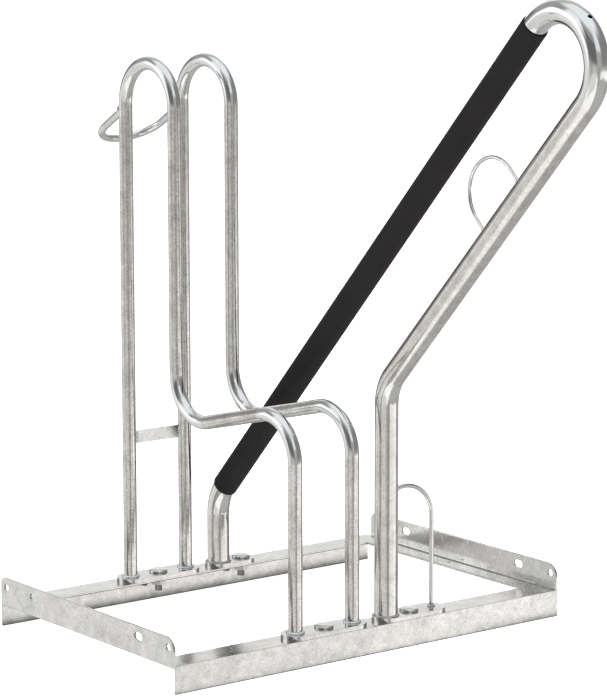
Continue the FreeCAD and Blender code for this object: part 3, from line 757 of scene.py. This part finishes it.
parts = []
axb = Vector((0, math.cos(bt), -math.sin(bt)))
k = 0
for x in HOOP_X:
    k += 1
    c = P(x, LEG_Y, 659.0) + axb * (8.2 * MM)
    parts.append(ring_bead("l%d" % k, c, axb, 5.0, 3.0, 1.9, 300 + k, top=4.6))
for t_ in (-44.0, 44.0):
    k += 1
    parts.append(ring_bead("l%d" % k, lean_loop(t_, 14.2), (0, nl[0], nl[1]), 2.5, 1.9, 1.5, 310 + k, top=3.0))
tz = bc[1] + math.sqrt(44.0 ** 2 - (LEAN_X + LEAN_R - bc[0]) ** 2)
parts.append(ring_bead("l9", P(LEAN_X + 14.4, -LEG_Y, tz - 0.1), (1.0, 0, 0.22), 3.0, 1.8, 1.6, 320, top=2.8))
stand_for("lock_loop_weld_ripples", join_meshes("lock_loop_weld_ripples", parts, 70.0), MAT_WELD,
          "lock_loop_weld_beads")

parts = []
k = 0
for sx in (-1, 1):
    for sy, far in ((-1, 196.0), (1, 185.5)):
        k += 1
        if sx < 0:
            # the back rail stops short of the upright leg, the weld fills the gap
            xs, half = (-300.0, 2.5) if sy < 0 else (-297.75, 3.4)
            parts.append(run_bead("c%da" % k, P(xs, sy * 164.5, 32.0), P(xs, sy * far, 32.0), (1, 0, 0),
                                  (0, 0, -1), half, 1.0, 2.2, 400 + k))
        else:
            # in the corner where the right upright leg stands on the rail
            parts.append(run_bead("c%da" % k, P(299.75, sy * 162.5, 35.75), P(299.75, sy * far, 35.75), (1, 0, 1),
                                  (-1, 0, 1), 1.15, 0.45, 1.8, 400 + k))
        parts.append(run_bead("c%db" % k, P(sx * 275.0, sy * 161.0, 32.0), P(sx * 295.0, sy * 161.0, 32.0),
                              (0, 1, 0), (0, 0, -1), 2.6, 1.0, 2.2, 420 + k))
stand_for("frame_corner_weld_ripples", join_meshes("frame_corner_weld_ripples", parts, 70.0), MAT_WELD_DULL,
          "frame_corner_weld_beads")


# ------------------------------------------------------------------- bolts
def revolve(name, centre, prof, seg=64, sharp=40.0):
    rows, uvr = [], []
    d = 0.0
    for i, (r, z) in enumerate(prof):
        if i:
            d += math.hypot(r - prof[i - 1][0], z - prof[i - 1][1])
        rows.append([Vector(centre) + Vector((r * math.cos(2 * math.pi * k / seg), r * math.sin(2 * math.pi * k / seg), z)) * MM
                     for k in range(seg)])
        uvr.append(([r * 2 * math.pi * MM * k / seg for k in range(seg + 1)], d * MM))
    return grid_mesh(name, rows, uvr, caps=True, sharp=sharp)


def thread(name, x, y, z0, z1, major, minor, pitch, seg=28):
    """Threaded shank: the radius follows the thread's helix."""
    rows, uvr = [], []
    step_ = pitch / 12.0
    n_ = int((z1 - z0) / step_)
    for i in range(n_ + 1):
        z = z0 + (z1 - z0) * i / n_
        row = []
        for k in range(seg):
            f = k / seg
            ph = ((z - z0) / pitch - f) % 1.0
            tri = abs(ph - 0.5) * 2.0
            r = minor + (major - minor) * min(1.0, max(0.0, (tri - 0.14) / 0.72))
            lead = min(1.0, (z - z0) / 1.1)
            r = min(r, minor + (major - minor) * (0.15 + 0.85 * lead))
            row.append(P(x + r * math.cos(2 * math.pi * f), y + r * math.sin(2 * math.pi * f), z))
        rows.append(row)
        uvr.append(([2 * math.pi * major * MM * k / seg for k in range(seg + 1)], (z - z0) * MM))
    return grid_mesh(name, rows, uvr, caps=True, sharp=50.0)


parts = []
head_r, head_h, rim = 12.25, 5.0, 1.3
k = 0
for bx in BOLT_X:
    for s in (-1, 1):
        k += 1
        prof = [(0.3, 0.0), (head_r - 0.35, 0.0), (head_r - 0.08, 0.12), (head_r, 0.4), (head_r, rim - 0.15),
                (head_r - 0.06, rim + 0.10)]
        # low crown, steep at the rim and nearly flat on top
        for i in range(1, 26):
            q = math.radians(90.0) * i / 26.0
            prof.append(((head_r - 0.10) * math.cos(q) ** 0.80, rim + 0.12 + (head_h - rim - 0.12) * math.sin(q) ** 0.80))
        prof.append((0.05, head_h))
        parts.append(revolve("h%d" % k, P(bx, s * LEG_Y, DECK), prof, 72, 45.0))
        parts.append(thread("t%d" % k, bx, s * LEG_Y, 15.0, 35.6, 4.95, 4.42, 1.5))
        bm = bmesh.new()
        bmesh.ops.create_cube(bm, size=1.0)
        for v in bm.verts:
            v.co = P(bx + v.co.x * 10.0, s * LEG_Y + v.co.y * 10.0, 38.1 + v.co.z * 4.8)
        bmesh.ops.bevel(bm, geom=[e for e in bm.edges if abs(e.verts[0].co.z - e.verts[1].co.z) > 1e-4],
                        offset=0.8 * MM, segments=3, affect="EDGES")
        nm = bpy.data.meshes.new("n%d" % k)
        bm.to_mesh(nm)
        bm.free()
        nm.uv_layers.new(name="UVMap")
        parts.append(nm)
stand_for("carriage_bolts_threaded", join_meshes("carriage_bolts_threaded", parts, 42.0), MAT_BOLT,
          "carriage_bolts")

# ------------------------------------------------------------ floor, light
me = bpy.data.meshes.new("floor")
s = 60.0
me.from_pydata([(-s, -s, 0), (s, -s, 0), (s, s, 0), (-s, s, 0)], [], [(0, 1, 2, 3)])
floor = new_object("floor", me)
fm = bpy.data.materials.new("pale_floor")
t, b = nt(fm)
tc = t.nodes.new("ShaderNodeTexCoord").outputs["Object"]
fn = noise(t, tc, 3.0, 2.0, 0.5)
t.links.new(ramp(t, fn, [(0.3, (0.93, 0.93, 0.93)), (0.7, (0.95, 0.95, 0.95))]), b.inputs["Base Color"])
b.inputs["Roughness"].default_value = 0.9
b.inputs["Specular IOR Level"].default_value = 0.1
b.inputs["Emission Color"].default_value = (1, 1, 1, 1)
b.inputs["Emission Strength"].default_value = 1.0
floor.data.materials.append(fm)
floor.visible_glossy = False

# studio surroundings: soft panels, flags and floor bounce, given by the
# compass angle round the rack (0 = behind the photographer, positive to the
# right) and the height above the horizon, both in degrees
c_dir = Vector((-0.6128, -0.7903, 0.0))
r_dir = Vector((0.7903, -0.6128, 0.0))

world = bpy.data.worlds.new("studio")
bpy.context.scene.world = world
world.use_nodes = True
w = world.node_tree
for n_ in list(w.nodes):
    w.nodes.remove(n_)
out = w.nodes.new("ShaderNodeOutputWorld")
bg = w.nodes.new("ShaderNodeBackground")
w.links.new(bg.outputs[0], out.inputs[0])
gen = w.nodes.new("ShaderNodeTexCoord").outputs["Generated"]


def dot(vec, d):
    n_ = w.nodes.new("ShaderNodeVectorMath")
    n_.operation = "DOT_PRODUCT"
    w.links.new(vec, n_.inputs[0])
    n_.inputs[1].default_value = d
    return n_.outputs["Value"]


DEG = 180.0 / math.pi
azim = math_node(w, "MULTIPLY", math_node(w, "ARCTAN2", dot(gen, r_dir), dot(gen, c_dir)), DEG)
azim_back = math_node(w, "MULTIPLY", math_node(w, "ARCTAN2", math_node(w, "MULTIPLY", dot(gen, r_dir), -1.0),
                                               math_node(w, "MULTIPLY", dot(gen, c_dir), -1.0)), DEG)
elev = math_node(w, "MULTIPLY", math_node(w, "ARCSINE", dot(gen, (0, 0, 1))), DEG)


def window(v, lo_, hi_, soft):
    return math_node(w, "MULTIPLY", step_node(w, v, lo_ - soft / 2, lo_ + soft / 2),
                     math_node(w, "SUBTRACT", 1.0, step_node(w, v, hi_ - soft / 2, hi_ + soft / 2)))


def tone(v, warm=0.0):
    return (v * (1 + warm), v, v * (1 - warm))


light = None


def panel(level, warm, a0, a1, e0, e1, soft=8.0, soft_e=None, back=False, slant=0.0):
    """Mixes a soft-edged panel over what is there; slant tilts its sides,
    in degrees of compass per degree of height."""
    global light
    az = azim_back if back else azim
    if slant:
        az = math_node(w, "SUBTRACT", az, math_node(w, "MULTIPLY", elev, slant))
    k_ = math_node(w, "MULTIPLY", window(az, a0, a1, soft), window(elev, e0, e1, soft_e or soft))
    light = mix_color(w, "MIX", k_, light, tone(level, warm))


# ground bounce below, walls in the middle, white ceiling above
ground = ramp(w, step_node(w, elev, -90.0, 0.0), [(0.0, tone(0.53, 0.006)), (0.6, tone(0.52, 0.008)), (1.0, tone(0.50, 0.012))])
light = mix_color(w, "MIX", step_node(w, elev, -6.0, 4.0), ground, tone(0.36, 0.01))
light = mix_color(w, "MIX", step_node(w, elev, 40.0, 62.0), light, tone(1.05, -0.045))
panel(0.80, 0.004, -140, -62, -70, -6, 14)                   # lit ground on the left
panel(1.22, 0.006, -66, 12, -74, -16, 12)                    # white sheet in front
panel(0.62, 0.015, -40, -8, -14, 0, 10)                      # its far edge
panel(0.84, 0.012, -54, -6, -32, -9.5, 6, 4)                 # grey border of the sheet
panel(1.15, 0.01, 42, 104, -18, -7, 10, 6)                   # low strip on the right
panel(1.08, 0.01, 30, 50, -20, -9, 6, 4)                     # its near end
panel(1.32, 0.01, 78, 98, -18, -8, 5, 5)                     # its brightest part
panel(0.40, 0.01, 8, 21, -30, -2, 5, 8)                      # gap between the two
panel(0.34, 0.0, 106, 119, -30, 0, 4, 8)                     # stand beside the strip
panel(0.86, 0.0, -128, -78, -12, -2, 8, 4)                   # foot of the window
panel(0.95, 0.004, -116, -98, -20, -9, 5, 4)                 # lit ground below it
panel(0.10, 0.0, -102.9, -101.4, -17, -10.5, 1.0, 1.5)       # with a dark stand on it
panel(0.17, 0.0, -66, -2, 2, 31, 10, 8)                      # dark wall behind the photographer
panel(0.27, 0.0, 38, 140, 1, 38, 10, 12)                     # dark wall on the right
panel(0.95, -0.05, 2, 42, 20, 62, 14, 14)                    # soft panel, upper middle
panel(0.46, 0.01, 0, 40, -2, 20, 12, 8)
panel(1.08, -0.02, -92, -60, 18, 50, 10, 14)                 # upper part of the window
panel(1.40, -0.012, -110, -76, -3, 24, 10, 7)                # tall window on the left
panel(0.40, 0.0, -150, -112, 0, 48, 8, 12)                   # wall left of the window
panel(0.12, 0.0, 28, 52, -2, 18, 5, 6, back=True)            # low black flag behind on the left
panel(0.95, 0.0, -28, 28, -2, 42, 8, 12, back=True)          # backdrop behind the rack
panel(0.55, 0.0, -40, 40, 44, 62, 14, 10, back=True)
w.links.new(light, bg.inputs[0])
bg.inputs[1].default_value = 1.0


def area(name, loc, target, size, power, size_y=None):
    l = bpy.data.lights.new(name, "AREA")
    l.shape = "RECTANGLE"
    l.size = size
    l.size_y = size_y or size
    l.energy = power
    o = bpy.data.objects.new(name, l)
    o.location = loc
    d = Vector(target) - Vector(loc)
    o.rotation_euler = d.to_track_quat("-Z", "Y").to_euler()
    bpy.context.scene.collection.objects.link(o)
    return o


key = area("softbox_top", (0.3, 0.2, 3.2), (0, 0.1, 0.2), 2.6, 40.0)
key.visible_glossy = False
key.visible_camera = False

# ------------------------------------------------------------------ camera
cd = bpy.data.cameras.new("photo_camera")
cd.sensor_fit = "AUTO"
cd.sensor_width = 36.0
cd.lens = 160.140
cam = bpy.data.objects.new("photo_camera", cd)
cam.location = (-2.335757, -2.986759, 1.03458)
cam.rotation_mode = "XYZ"
cam.rotation_euler = (math.radians(80.15904), math.radians(0.08028), math.radians(-37.16767))
bpy.context.scene.collection.objects.link(cam)
bpy.context.scene.camera = cam
cd.clip_start = 0.05
cd.clip_end = 200.0

sc = bpy.context.scene
sc.view_settings.view_transform = "Standard"
sc.view_settings.look = "None"
sc.view_settings.exposure = 0.0
